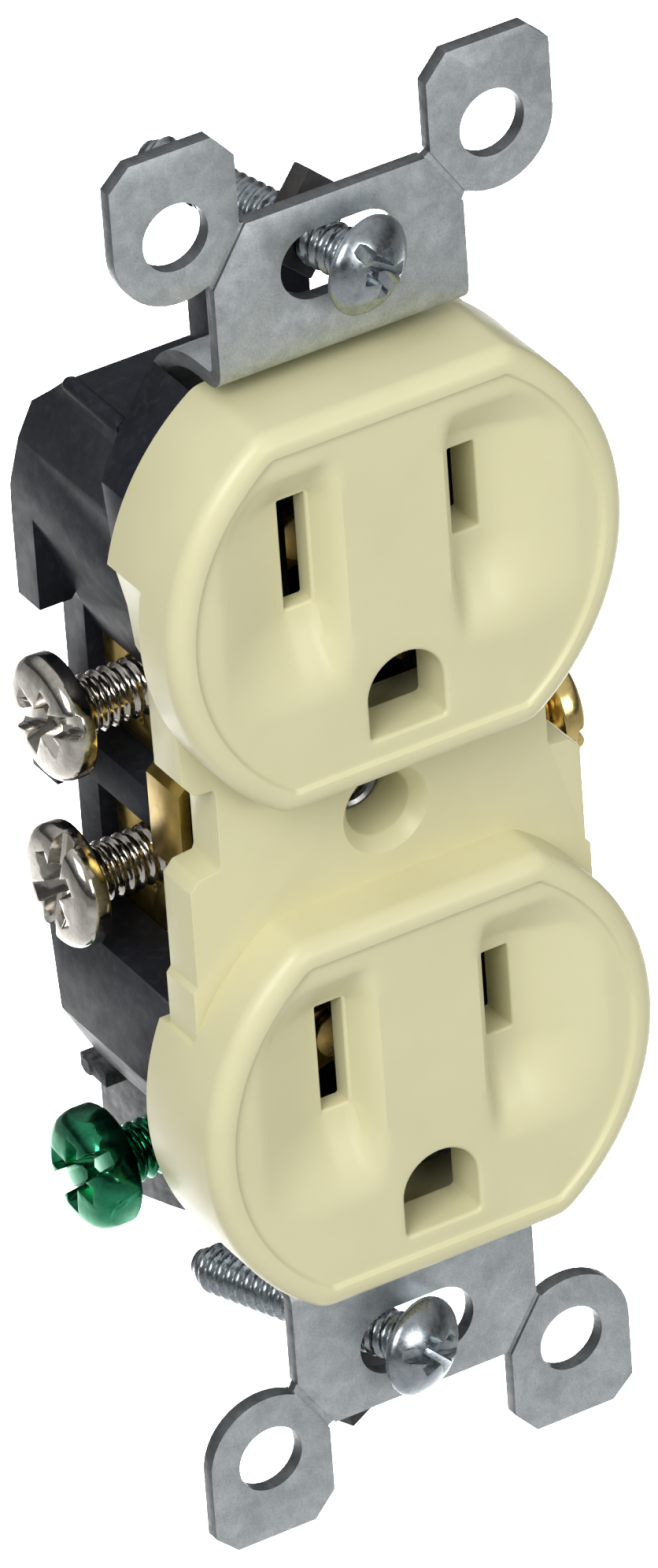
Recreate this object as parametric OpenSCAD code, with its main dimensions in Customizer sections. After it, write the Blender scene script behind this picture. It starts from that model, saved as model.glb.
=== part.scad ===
// Duplex wall outlet, 15 A grounded, with a one-piece galvanised mounting strap.
// Millimetres. +X right seen from the front, +Z up, the front faces -Y.
// The origin is on the cover-screw axis, at the front plane of the strap.

/* [Faces] */
// Radius of each round plug face
face_r = 17.05; // [16.9:0.05:17.2]
// Half the height between the two flats of a face
face_flat = 14.3; // [14.2:0.05:14.35]
// Distance of each face centre above or below the middle
face_z = 19.38; // [19.3:0.02:19.5]
// How far the faces stand in front of the strap
face_front = 5.1; // [4.8:0.1:5.4]
// Rounding of the faces' front edge
face_round = 1.3; // [1:0.1:1.6]

/* [Plug slots] */
// Distance of each blade slot from the middle
blade_x = 6.35; // [6.3:0.01:6.4]
// Height of the blade slots above the face centre
blade_rise = 3.73; // [3.6:0.01:3.8]
// Width of both blade slots
blade_w = 2.0; // [1.8:0.1:2.2]
// Height of the neutral slot
neutral_h = 8.2; // [8.0:0.1:8.3]
// Height of the hot slot
hot_h = 6.4; // [6.3:0.1:6.6]
// Distance of the ground hole below the face centre
ground_drop = 8.17; // [8.1:0.01:8.3]
// Radius of the ground hole's round top
ground_r = 2.85; // [2.8:0.01:2.9]

/* [Strap] */
// Thickness of the strap
strap_t = 1.07; // [1.0:0.01:1.1]
// Half the width of the strap's end plates
plate_x = 9.3; // [9.2:0.05:9.35]
// Height of the top edge of the end plates
plate_top = 46.35; // [46.2:0.05:46.5]
// Height of the outer edge of the ears
ear_top = 53.4; // [53.2:0.05:53.6]
// Distance of each ear hole from the middle, sideways
ear_x = 11.75; // [11.7:0.01:11.8]
// Distance of each ear hole from the middle, up or down
ear_z = 47.18; // [47.1:0.01:47.3]
// Radius of the ear holes
ear_hole_r = 2.4; // [2.3:0.05:2.5]
// Distance of the box-screw slots from the middle
box_z = 41.67; // [41.6:0.01:41.7]
// Length of the box-screw slots
slot_l = 8.8; // [8.6:0.1:9]
// Height of the box-screw slots
slot_h = 5.0; // [4.8:0.1:5]

/* [Body] */
// Half the width of the back body
body_x = 14.3; // [14.2:0.05:14.4]
// Depth of the body's back face
body_back = 20.5; // [20.4:0.1:20.8]
// Half the width of the body's core between the terminal bays
core_x = 9.25; // [9.2:0.01:9.28]

/* [Terminals] */
// Radius of the terminal screws' shanks
term_r = 2.05; // [2.0:0.01:2.08]
// Radius of the terminal screws' heads
term_head_r = 4.35; // [4.2:0.05:4.4]
// Height of the terminal screws' heads
term_head_h = 2.1; // [1.9:0.1:2.2]
// Length of the terminal screws under the head
term_l = 9.5; // [9.3:0.1:9.6]
// Depth of the terminal screws' axes
term_y = 12.8; // [12.7:0.1:12.9]
// Distance of the terminal screws from the middle, up or down
term_z = 6.5; // [6.4:0.05:6.55]
// How far the terminal screws are backed out
backed_out = 5.6; // [4:0.1:6]
// How far the lower hot screw is backed out
hot_out = 9.1; // [4:0.1:9.1]
// How far the ground screw is backed out
ground_out = 4; // [3:0.1:5]

/* [Box screws] */
// Radius of the box screws' shanks
box_r = 1.75; // [1.7:0.01:1.78]
// Length of the box screws under the head
box_l = 19.05; // [16:0.05:25.4]
// Sideways lean of the upper box screw in its slot, in degrees
lean_upper = 15.5; // [0:0.5:17]
// Sideways lean of the lower box screw in its slot, in degrees
lean_lower = 19; // [0:0.5:19]
// Upward tilt of the upper box screw's tail, in degrees
tilt_upper = 3.5; // [0:0.5:4]
// Downward tilt of the lower box screw's tail, in degrees
tilt_lower = 2.5; // [0:0.5:4]

/* [Hidden] */
$fn = 72;
big = 100;                       // longer than the whole outlet
eps = 0.01;                      // tools run past the faces they open by this much
fit = 0.05;                      // gap between pieces that are assembled together
run = 0.05;                      // radial gap of a screw in its hole

// Cover
cover_back = 3.55;               // back edge of the faces' skirts
mid_front = -0.8;                // front of the bridge between the faces
mid_back = 2.7;                  // back of the bridge
skirt_low = 22.9;                // the upper skirt stops here, to open the terminal bays
skirt_high = -12.4;              // the lower skirt starts here
pocket_front = -1.2;             // inside of the front wall
scoop_depth = 2.0;               // depth of the lead-in around a blade slot
relief_front = -1.9;             // the wall is thinner behind the neutral slots
tunnel_wall = 0.8;
tunnel_back = 0.5;
wing = [[16.55, skirt_low], [15.9, 20], [15.55, 16.8], [14.95, 15.4], [14.85, 7.5], [14.05, 6.45],
        [12.6, 6.3], [12.45, 5.9], [12.45, 0.5], [12.6, 0.1], [14.1, -0.05], [14.85, -0.85],
        [14.85, -8.1], [15.2, -8.5], [15.2, skirt_high]];
sink_r = 3.15;                   // countersink of the cover-screw hole
sink_back = 0.3;
hole_r = 2.35;                   // bore behind the countersink
boss_r = 4;                      // boss around the bore
boss_back = 5;
seat_y = 4.25;                   // ledge that the eyelet's flange sits on

// Eyelet
eyelet_r = 2.0;                  // outside of the tube
eyelet_bore = 1.5;               // pitch radius of a 6-32 thread
eyelet_flange = 2.25;
eyelet_front = 3.5;
eyelet_rim = 0.6;                // height of the rolled rim behind the body

// Strap
band_y = 9.2;                    // front of the strap's middle band
band_x = 3.8;                    // half width of the band
band_wide = 28;                  // the band is plate_x wide beyond this height
bend_z = 34.6;                   // underside of the strap where it passes over the cover
bend_r = 1.5;
hump_y = 3.1;                    // the hump turns down behind this depth
hump_r = band_y - hump_y;
tab_x = 11;                      // outside of the grounding tab
tab_hole = [term_y, -29];
score = [[6.95, 46.4], [9.45, 42.5]];
score_w = 0.5;
score_d = 0.22;

// Body
lower_z = -31.7;                 // bottom of the body
upper_z = 29.4;                  // top of the body's upper end
block_x = 3.4;                   // block on the top of the body, behind the strap
block_z = 35.6;
block_back = 14.5;
flange_r = 16.7;                 // skirt of the body behind the faces
flange_flat = 13.9;
flange_back = 8.6;
bay_y = 17.7;                    // inside of the bays' back wall
post_x = 11.1;                   // half width of the bays' back wall
post_tab = 2;                    // half height of the tab on the bays' back wall
channel_x = 2;                   // bottom of the terminal screws' channels
bay_top = 8.6;
bay_bottom = -12.1;
barrier_x = 12.4;                // rib between the two screws of a bay
barrier_z = 1.5;
barrier_y = 8.6;

// Terminal strips, drawn at +X and mirrored
strip_t = 0.8;
strip_x = core_x + fit;          // inside of the strip
strip_front = 4.2;
strip_back = 17.2;
strip_end = 15.2;                // height of the side plates' ends
web_y = 14.2;                    // web that carries a contact's leaves
leaf_t = 0.6;
leaf_front = 3.0;                // front of the leaves behind the blade slots
contact_h = 7.0;
tab_out = 12.5;                  // outside of the break-off tab
tab_z = 3.1;
tab_back = 8.3;
clip_z = 10.3;                   // push-in wire clips, up or down
clip_h = 1.8;
wire_x = 8.3;
wire_r = 0.9;

// Ground contacts and their rivets
pin_hole_r = 2.92;               // room for a ground pin through the strap and the contact
rivet_drop = 2.9;                // rivets below the face centres
rivet_r = 1.0;
rivet_head_r = 1.7;
rivet_head_h = 0.6;
ground_leaf_x = 2.15;            // throat of the ground contact
pin_front = 0.6;                 // front of its leaves
ground_base_t = 0.7;

// Screws
ground_head_r = 4.58;            // corners of the 7.94 hexagon
ground_round_r = 4.25;           // the corners are rounded to this
ground_head_h = 3.1;
ground_l = 7.9;
box_head_r = 3.45;
box_head_h = 2.2;
box_under = 2.2;                 // head's underside in front of the screw's pivot
pivot_y = 0.5;
pivot_x = [0.18, -1.61];         // where the upper and lower screws cross their slots
retainer_y = 2.5;                // front of the retainers behind the pivot
retainer_t = 1.4;
retainer_turn = [47, 192];
retainer_box = [[[-2.4, -2.4], [3.8, 3.3]], [[-2.7, -2.3], [3.5, 6.5]]];  // upper, lower
neck_r = 1.35;                   // the retainer sits on this neck and keeps the screw in place
neck = [box_under + retainer_y - 0.1, box_under + retainer_y + retainer_t + 0.1];

function arc(cx, cy, r, a0, a1, n = 10) =
  [for (i = [0:n]) let (a = a0 + (a1 - a0) * i / n) [cx + r * cos(a), cy + r * sin(a)]];
function flip(points) = [for (i = [len(points) - 1:-1:0]) [-points[i][0], points[i][1]]];
function both(points) = concat(points, flip(points));

// A flat shape drawn in X and Z, from depth y0 to y1
module along_y(y0, y1) {
  translate([0, y1, 0]) rotate([90, 0, 0]) linear_extrude(y1 - y0) children();
}

// A flat shape drawn in Y and Z, from x0 to x1
module along_x(x0, x1) {
  translate([x0, 0, 0]) rotate([90, 0, 90]) linear_extrude(x1 - x0) children();
}

// A flat shape drawn in X and Y, from z0 to z1
module along_z(z0, z1) {
  translate([0, 0, z0]) linear_extrude(z1 - z0) children();
}

module box(low, high) {
  translate(low) cube(high - low);
}

module rod(x, z, r, y0, y1) {
  translate([x, y1, z]) rotate([90, 0, 0]) cylinder(r = r, h = y1 - y0);
}

module side_rod(y, z, r, x0, x1) {
  translate([x0, y, z]) rotate([0, 90, 0]) cylinder(r = r, h = x1 - x0);
}

module mirrored_x() {
  children();
  mirror([1, 0, 0]) children();
}

module mirrored_z() {
  children();
  mirror([0, 0, 1]) children();
}

// Disc of a face, with its two flats
module face_disc(z, r, flat, y0, y1) {
  intersection() {
    rod(0, z, r, y0, y1);
    box([-big, y0, z - flat], [big, y1, z + flat]);
  }
}

// Front part of a face, with its rounded edge
module face_front_part(z) {
  profile = concat([[0, 0]], [[face_r, 0]], [[face_r, face_front + mid_front - face_round]],
                   arc(face_r - face_round, face_front + mid_front - face_round, face_round, 0, 90, 8),
                   [[0, face_front + mid_front]]);
  intersection() {
    translate([0, mid_front, z]) rotate([90, 0, 0]) rotate_extrude() polygon(profile);
    box([-big, -big, z - face_flat], [big, big, z + face_flat]);
  }
}

// One blade slot with its lead-in
module blade_slot(x, z, h) {
  box([x - blade_w / 2, -face_front - 1, z - h / 2], [x + blade_w / 2, pocket_front + eps, z + h / 2]);
  along_x(x - blade_w / 2, x + blade_w / 2 + 1.6)
    polygon([[-face_front - eps, z + h / 2 + 2.6], [-face_front - eps, z - h / 2 - 0.6],
             [-face_front + scoop_depth, z - h / 2], [-face_front + scoop_depth, z + h / 2 + 0.6]]);
}

module ground_hole(z) {
  rod(0, z, ground_r, -face_front - 1, pocket_front + eps);
  box([-ground_r, -face_front - 1, z - ground_r], [ground_r, pocket_front + eps, z]);
}

// Walls that lead a blade through the pocket behind a hot slot
module slot_tunnel(z) {
  difference() {
    box([blade_x - blade_w / 2 - tunnel_wall, pocket_front - 0.3, z - hot_h / 2 - tunnel_wall],
        [blade_x + blade_w / 2 + tunnel_wall, tunnel_back, z + hot_h / 2 + tunnel_wall]);
    box([blade_x - blade_w / 2, pocket_front - 1, z - hot_h / 2],
        [blade_x + blade_w / 2, tunnel_back + 1, z + hot_h / 2]);
  }
}

module front_cover() color("cornsilk") {
  cover_shell();
  for (s = [1, -1]) slot_tunnel(s * face_z + blade_rise);
}

module cover_shell() {
  difference() {
    union() {
      for (s = [1, -1]) face_front_part(s * face_z);
      intersection() {
        face_disc(face_z, face_r, face_flat, mid_front - eps, cover_back);
        box([-big, -big, skirt_low], [big, big, big]);
      }
      intersection() {
        face_disc(-face_z, face_r, face_flat, mid_front - eps, cover_back);
        box([-big, -big, -big], [big, big, skirt_high]);
      }
      along_y(mid_front, mid_back) polygon(both(wing));
      rod(0, 0, boss_r, mid_front + eps, boss_back);
    }
    for (s = [1, -1]) {
      intersection() {
        face_disc(s * face_z, face_r - 2.4, face_flat - 2.2, pocket_front, cover_back + eps);
        box([-12.6, -big, -big], [12.6, big, big]);
      }
      blade_slot(-blade_x, s * face_z + blade_rise, neutral_h);
      blade_slot(blade_x, s * face_z + blade_rise, hot_h);
      box([-blade_x - blade_w / 2 - 0.6, relief_front, s * face_z + blade_rise - neutral_h / 2 - 0.5],
          [-blade_x + blade_w / 2 + 0.6, pocket_front + eps, s * face_z + blade_rise + neutral_h / 2 + 0.5]);
      ground_hole(s * face_z - ground_drop);
    }
    translate([0, sink_back, 0]) rotate([90, 0, 0])
      cylinder(r1 = hole_r, r2 = sink_r, h = sink_back - mid_front + eps);
    rod(0, 0, hole_r, sink_back - eps, seat_y);
    rod(0, 0, eyelet_r + fit, mid_front, boss_back + eps);
  }
}

// One end plate with its two ears, in X and Z
module end_plate_outline() {
  ear = concat([[6.8, plate_top], [7.1, plate_top + 0.2], [7.1, 51.6], [8.7, ear_top], [14.7, ear_top],
                [16.3, 51.9]],
               arc(ear_x, 46.9, 4.55, 0, -118, 14), [[plate_x, 42.3], [plate_x, bend_z + bend_r]]);
  polygon(concat(flip(ear), ear));
}

module obround(x, z, l, h, y0, y1) {
  for (s = [1, -1]) rod(x + s * (l - h) / 2, z, h / 2, y0, y1);
  box([x - (l - h) / 2, y0, z - h / 2], [x + (l - h) / 2, y1, z + h / 2]);
}

// Side view of the strap's end: down the plate, back over the cover and down again
module hump_profile() {
  hump_z = bend_z + strap_t - hump_r - strap_t;
  polygon(concat([[0, bend_z + bend_r + 1]], arc(bend_r, bend_z + bend_r, bend_r, 180, 270, 8),
                 arc(hump_y, hump_z, hump_r, 90, 0, 12), [[band_y, band_wide], [band_y + strap_t, band_wide]],
                 arc(hump_y, hump_z, hump_r + strap_t, 0, 90, 12),
                 arc(bend_r, bend_z + bend_r, bend_r - strap_t, 270, 180, 8),
                 [[strap_t, bend_z + bend_r + 1]]));
}

module score_line(y0, y1) {
  along = score[1] - score[0];
  side = [-along[1], along[0]] * score_w / norm(along) / 2;
  along_y(y0, y1)
    polygon([score[0] - along * 0.2 + side, score[1] + along * 0.2 + side,
             score[1] + along * 0.2 - side, score[0] - along * 0.2 - side]);
}

module grounding_tab() {
  band_out = [[10.2, -25.6], [17.4, -25.0], [20.4, -25.5], [21.0, -26.6], [21.0, -32.6], [18.4, -35.7],
              [16.2, -35.3], [12.5, -34.1], [band_y, -32.9], [band_y, -26.2]];
  difference() {
    union() {
      along_x(-tab_x, -tab_x + strap_t) polygon(band_out);
      box([-tab_x, band_y, -31.4], [-plate_x, band_y + strap_t, -band_wide + 1.4]);
      box([-tab_x - 1.8, 16.9, -26.3], [-tab_x + eps, 20.2, -25.2]);
      side_rod(20.2 - 0.55, -25.75, 0.55, -tab_x - 1.8, -tab_x);
    }
    side_rod(tab_hole[0], tab_hole[1], term_r + run, -tab_x - 1, -tab_x + strap_t + 1);
  }
}

module mounting_strap() {
  color("silver") difference() {
    union() {
      mirrored_z() {
        along_y(0, strap_t) end_plate_outline();
        along_x(-plate_x, plate_x) hump_profile();
      }
      box([-band_x, band_y, -band_wide - eps], [band_x, band_y + strap_t, band_wide + eps]);
      grounding_tab();
    }
    mirrored_z() {
      mirrored_x() {
        rod(ear_x, ear_z, ear_hole_r, -1, strap_t + 1);
        score_line(-eps, score_d);
        score_line(strap_t - score_d, strap_t + eps);
      }
      obround(0, box_z, slot_l, slot_h, -1, strap_t + 1);
    }
    rod(0, 0, eyelet_r + fit, band_y - 1, band_y + strap_t + 1);
    for (s = [1, -1]) {
      rod(0, s * face_z - ground_drop, pin_hole_r, band_y - 1, band_y + strap_t + 1);
      rod(0, s * face_z - rivet_drop, rivet_r + fit, band_y - 1, band_y + strap_t + 1);
    }
  }
}

module center_eyelet() {
  color("dimgray") difference() {
    union() {
      rod(0, 0, eyelet_r, eyelet_front, body_back + eyelet_rim);
      rod(0, 0, eyelet_flange, eyelet_front, seat_y - fit);
      rod(0, 0, eyelet_flange + 0.9, body_back, body_back + eyelet_rim);
    }
    rod(0, 0, eyelet_bore, eyelet_front - 1, body_back + eyelet_rim + 1);
  }
}

// A ground contact: base riveted to the strap, and two leaves that grip the pin
module ground_contact(face) {
  pin_z = face - ground_drop;
  leaf = concat([[ground_leaf_x + 0.75, band_y - fit], [ground_leaf_x + 0.75, 6.5], [ground_leaf_x, 3.2],
                 [ground_leaf_x + 0.5, pin_front]],
                [[ground_leaf_x + 1.1, pin_front], [ground_leaf_x + 0.6, 3.2],
                 [ground_leaf_x + 1.35, 6.5], [ground_leaf_x + 1.35, band_y - fit]]);
  color("goldenrod") difference() {
    union() {
      box([-3.5, band_y - fit - ground_base_t, pin_z - 1.4], [3.5, band_y - fit, pin_z + 7.2]);
      mirrored_x() along_z(pin_z - 1.4, pin_z + 2.4) polygon(leaf);
    }
    rod(0, pin_z, pin_hole_r, band_y - 2, band_y);
    rod(0, face - rivet_drop, rivet_r + fit, band_y - 2, band_y);
  }
}

module ground_contact_upper() ground_contact(face_z);

module ground_contact_lower() ground_contact(-face_z);

module ground_rivet(z) {
  front = band_y - fit - ground_base_t;
  back = band_y + strap_t;
  color("darkgoldenrod") {
    rod(0, z, rivet_r, front - rivet_head_h, back + rivet_head_h);
    rod(0, z, rivet_head_r, front - rivet_head_h, front);
    rod(0, z, rivet_head_r, back, back + rivet_head_h);
  }
}

module ground_rivet_upper() ground_rivet(face_z - rivet_drop);

module ground_rivet_lower() ground_rivet(-face_z - rivet_drop);

// The two leaves of a blade contact and the web that joins them to the side plate, in X and Y
module blade_contact(z) {
  out = strip_x + strip_t;
  along_z(z - contact_h / 2, z + contact_h / 2) {
    polygon([[strip_x + eps, web_y], [out, web_y], [out, web_y + strip_t], [blade_x - 1.35, web_y + strip_t],
             [blade_x - 1.35, web_y]]);
    for (s = [1, -1])
      polygon([[blade_x + s * 1.35, web_y + strip_t], [blade_x + s * 1.35, 9],
               [blade_x + s * 1.05, leaf_front + 2.2],
               [blade_x + s * 1.6, leaf_front], [blade_x + s * 1.1, leaf_front],
               [blade_x + s * (1.05 - leaf_t), leaf_front + 2.2], [blade_x + s * (1.35 - leaf_t), 9],
               [blade_x + s * (1.35 - leaf_t), web_y + strip_t]]);
  }
}

// A terminal strip: two side plates, the break-off tab and two blade contacts
module terminal_strip() {
  out = strip_x + strip_t;
  reach = [face_z + blade_rise, -face_z + blade_rise];
  joggle = [[strip_x, tab_z + 3], [out, tab_z + 3], [out, tab_z + 2.2], [tab_out, tab_z],
            [tab_out, -tab_z], [out, -tab_z - 2.2], [out, -tab_z - 3], [strip_x, -tab_z - 3],
            [strip_x, -tab_z - 1.9], [tab_out - strip_t, -tab_z + 0.3], [tab_out - strip_t, tab_z - 0.3],
            [strip_x, tab_z + 1.9]];
  difference() {
    union() {
      mirrored_z() {
        box([strip_x, barrier_y + fit, barrier_z + 0.3], [out, strip_back, strip_end]);
        box([strip_x, strip_front, tab_z + 2.6], [out, strip_back, strip_end]);
      }
      along_y(strip_front, tab_back) polygon(joggle);
      box([strip_x, strip_front, strip_end - eps], [out, web_y + strip_t, reach[0] + contact_h / 2]);
      box([strip_x, strip_front, reach[1] - contact_h / 2], [out, web_y + strip_t, -strip_end + eps]);
      for (z = reach) blade_contact(z);
    }
    for (s = [1, -1]) side_rod(term_y, s * term_z, term_r + run, strip_x - 1, out + 1);
  }
}

module neutral_strip() color("goldenrod") mirror([1, 0, 0]) terminal_strip();

module hot_strip() color("goldenrod") terminal_strip();

// A push-in wire clip, drawn at +X: a folded leaf that bites the wire against the side plate
module wire_clip(z) {
  color("darkkhaki") along_z(z - clip_h / 2, z + clip_h / 2)
    polygon([[4.95, 10.2], [4.95, 16.6], [6.5, 17.3], [7.3, 16.5], [7.2, 13.0], [6.8, 13.0], [6.8, 16.3],
             [6.4, 16.7], [5.35, 16.3], [5.35, 10.2]]);
}

module neutral_clip_upper() mirror([1, 0, 0]) wire_clip(clip_z);

module neutral_clip_lower() mirror([1, 0, 0]) wire_clip(-clip_z);

module hot_clip_upper() wire_clip(clip_z);

module hot_clip_lower() wire_clip(-clip_z);

// Outside of the body
module body_outside() {
  upper = [[12.4, upper_z], [12.5, 27.6], [14.0, 23.7], [body_x, 20.2], [body_x, 18.3],
           [core_x + 1, bay_top]];
  lower = [[-body_x, bay_bottom], [-body_x, -20.6], [-12.6, -24.2], [-9.7, -24.2], [-9.7, lower_z],
           [9.7, lower_z], [9.7, -24.2], [12.6, -24.2], [body_x, -20.6], [body_x, bay_bottom]];
  side = [[mid_back, lower_z], [11.4, lower_z], [16.5, -27.9], [19.4, -20.6], [body_back, -11], [body_back, 17.7],
          [20.4, 19.6], [19.3, 23.7], [18.9, 26.3], [15.2, upper_z], [mid_back, upper_z]];
  hook = [[-body_x, 20], [-body_x, 11.3], [-post_x - 0.8, 11.3], [-post_x, 12.2], [-post_x, -11],
          [-body_x, -11], [-body_x, -16]];
  intersection() {
    along_x(-body_x, body_x) polygon(side);
    union() {
      along_y(mid_back, body_back) {
        polygon(both(upper));
        polygon(lower);
      }
      box([-core_x, mid_back, bay_bottom - 1], [core_x, body_back, bay_top + 1]);
      along_y(bay_y, body_back) polygon(both(hook));
      mirrored_x() {
        box([core_x - 1, barrier_y, -barrier_z], [barrier_x, bay_y + 1, barrier_z]);
        box([post_x - 1, bay_y - 0.4, -post_tab], [body_x, body_back, post_tab]);
      }
    }
  }
  along_x(-block_x, block_x)
    polygon([[band_y, upper_z - 5], [band_y, block_z], [block_back - 1.5, block_z], [block_back, block_z - 1.5],
             [block_back, upper_z - 5]]);
  flange = [[cover_back, 0], [6.0, 0], [6.8, 4.8], [7.4, 8.1], [flange_back, 10.4], [flange_back, 20],
            [cover_back, 20]];
  intersection() {
    face_disc(face_z, flange_r, flange_flat, cover_back, flange_back);
    translate([0, 0, skirt_low]) along_x(-body_x - 0.6, body_x + 0.6) polygon(flange);
  }
  intersection() {
    face_disc(-face_z, flange_r, flange_flat, cover_back, 6.8);
    box([-body_x, -big, -big], [body_x, big, -24.2]);
  }
}

// Room for a contact's leaves and for the arm that carries it, at +X
module contact_room(z) {
  half = contact_h / 2 + 0.3;
  box([blade_x - 1.75, 0, z - half], [blade_x + 1.9, web_y + 1.1, z + half]);
  box([blade_x - 1.75, web_y - 0.3, z - half], [strip_x + strip_t, web_y + 1.1, z + half]);
}

module back_body() {
  slot_out = strip_x + strip_t + fit;
  reach = [face_z + blade_rise + contact_h / 2 + 0.3, -face_z + blade_rise - contact_h / 2 - 0.3];
  color([0.17, 0.18, 0.21]) difference() {
    body_outside();
    // the skirts of the cover sit in front of this
    box([-big, -big, skirt_low - fit], [big, cover_back + fit, big]);
    box([-big, -big, -big], [big, cover_back + fit, skirt_high + fit]);
    // strap
    box([-band_x - 0.2, -1, -big], [band_x + 0.2, band_y + strap_t + fit, big]);
    mirrored_z() box([-plate_x - 0.2, -1, band_wide - 0.3], [plate_x + 0.2, band_y + strap_t + fit, big]);
    box([-tab_x - 0.3, band_y - 0.5, -big], [-plate_x, body_back + 1, -25.4]);
    side_rod(tab_hole[0], tab_hole[1], term_r + 0.2, -tab_x - 1, ground_l - tab_x + 0.15);
    rod(0, 0, eyelet_r + fit, 0, body_back + 1);
    rod(0, 0, boss_r + 0.1, 0, boss_back + 0.1);
    for (s = [1, -1]) {
      rod(0, s * face_z - ground_drop, pin_hole_r + 0.1, band_y, 17.2);
      rod(0, s * face_z - rivet_drop, rivet_head_r + 0.2, band_y, band_y + strap_t + rivet_head_h + 0.3);
    }
    mirrored_x() {
      for (z = [face_z + blade_rise, -face_z + blade_rise]) contact_room(z);
      box([core_x - fit, 0, strip_end - 1], [slot_out, web_y + 1.1, reach[0]]);
      box([core_x, 0, bay_top - 1], [slot_out, strip_back + fit, strip_end + 0.2]);
      box([core_x - fit, 0, reach[1]], [slot_out, web_y + 1.1, -strip_end + 1]);
      box([core_x, 0, -strip_end - 0.2], [slot_out, strip_back + fit, bay_bottom + 1]);
      for (s = [1, -1]) {
        side_rod(term_y, s * term_z, term_r + 0.2, channel_x, core_x + 1);
        box([4.9, 10, s * clip_z - clip_h / 2 - 0.2], [core_x + 0.1, 17.5, s * clip_z + clip_h / 2 + 0.2]);
        rod(wire_x, s * clip_z, wire_r, 17, body_back + 1);
        box([5.0, 17, s * clip_z - 0.9], [6.1, body_back + 1, s * clip_z + 0.9]);
      }
    }
  }
}

// Screws are drawn along Z: the underside of the head is at z = 0, the head above it, the shank below.
// These two cut a straight slot and a cross into the top of a head
module slot_cut(top, w, d, half) {
  box([-w / 2, -half, top - d], [w / 2, half, top + 1]);
}

module cross_cut(top, r) {
  translate([0, 0, top - 1.7]) linear_extrude(3)
    for (a = [45, 135]) rotate([0, 0, a]) square([0.9, 2 * r], center = true);
}

module terminal_screw_shape() {
  dome = concat([[0, 0], [term_head_r, 0], [term_head_r, 0.9]],
                arc(term_head_r - 1.1, 0.9, 1.1, 15, 75, 5), [[0, term_head_h]]);
  difference() {
    rotate_extrude() polygon(dome);
    slot_cut(term_head_h, 1.2, 1.0, term_head_r + 1);
    cross_cut(term_head_h, 2.2);
  }
  translate([0, 0, -term_l]) cylinder(r = term_r, h = term_l + eps);
}

module ground_screw_shape() {
  r = ground_round_r;
  h = ground_head_h;
  difference() {
    intersection() {
      cylinder(r = ground_head_r, h = h, $fn = 6);
      rotate_extrude()
        polygon([[0, -eps], [r, -eps], [r, h - 1.2], [r - 0.35, h - 0.5], [r - 0.95, h - 0.1],
                 [r - 1.6, h], [0, h]]);
    }
    slot_cut(h, 1.4, 1.3, ground_head_r + 1);
    cross_cut(h, 2.4);
  }
  translate([0, 0, -ground_l]) cylinder(r = term_r, h = ground_l + eps);
}

module box_screw_shape() {
  dome = concat([[0, 0], [box_head_r, 0], [box_head_r, 0.5]],
                arc(0, 0.5 - (box_head_r * box_head_r - 1.7 * 1.7) / (2 * 1.7),
                    (box_head_r * box_head_r + 1.7 * 1.7) / (2 * 1.7), 42, 86, 8), [[0, box_head_h]]);
  difference() {
    rotate_extrude() polygon(dome);
    slot_cut(box_head_h, 1.0, 1.0, box_head_r + 1);
    cross_cut(box_head_h, 1.7);
  }
  translate([0, 0, -neck[0]]) cylinder(r = box_r, h = neck[0] + eps);
  translate([0, 0, -neck[1] - eps]) cylinder(r = neck_r, h = neck[1] - neck[0] + 2 * eps);
  translate([0, 0, -box_l]) cylinder(r = box_r, h = box_l - neck[1]);
}

// Puts a screw on the +X side, with the underside of its head at x
module at_terminal(x, y, z, turn) {
  translate([x, y, z]) rotate([0, 90, 0]) rotate([0, 0, turn]) children();
}

module neutral_screw_upper()
  color("lightgray") mirror([1, 0, 0])
    at_terminal(strip_x + strip_t + backed_out, term_y, term_z, -20) terminal_screw_shape();

module neutral_screw_lower()
  color("lightgray") mirror([1, 0, 0])
    at_terminal(strip_x + strip_t + backed_out, term_y, -term_z, -75) terminal_screw_shape();

module hot_screw_upper()
  color("gold") at_terminal(strip_x + strip_t + backed_out, term_y, term_z, 55) terminal_screw_shape();

module hot_screw_lower()
  color("gold") at_terminal(strip_x + strip_t + hot_out, term_y, -term_z, 10) terminal_screw_shape();

module ground_screw()
  color("seagreen") mirror([1, 0, 0])
    at_terminal(tab_x + ground_out, tab_hole[0], tab_hole[1], -40) ground_screw_shape();

// Puts a shape that stands along -Z at a box screw's pivot: s is 1 for the upper screw, -1 for the lower
module at_box_screw(s) {
  translate([s > 0 ? pivot_x[0] : pivot_x[1], pivot_y, s * box_z])
    rotate([0, 0, s > 0 ? lean_upper : lean_lower])
      rotate([90 + (s > 0 ? tilt_upper : -tilt_lower), 0, 0]) children();
}

module box_screw(s) color("lightsteelblue") at_box_screw(s) translate([0, 0, box_under]) box_screw_shape();

module box_screw_upper() box_screw(1);

module box_screw_lower() box_screw(-1);

// A black fibre square, threaded off centre on the screw
module screw_retainer(s) {
  i = s > 0 ? 0 : 1;
  lo = retainer_box[i][0];
  hi = retainer_box[i][1];
  color([0.1, 0.1, 0.1]) at_box_screw(s) translate([0, 0, -retainer_y - retainer_t])
    difference() {
      rotate([0, 0, retainer_turn[i]]) box([lo[0], lo[1], 0], [hi[0], hi[1], retainer_t]);
      translate([0, 0, -1]) cylinder(r = neck_r + run, h = retainer_t + 2);
    }
}

module screw_retainer_upper() screw_retainer(1);

module screw_retainer_lower() screw_retainer(-1);

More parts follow.
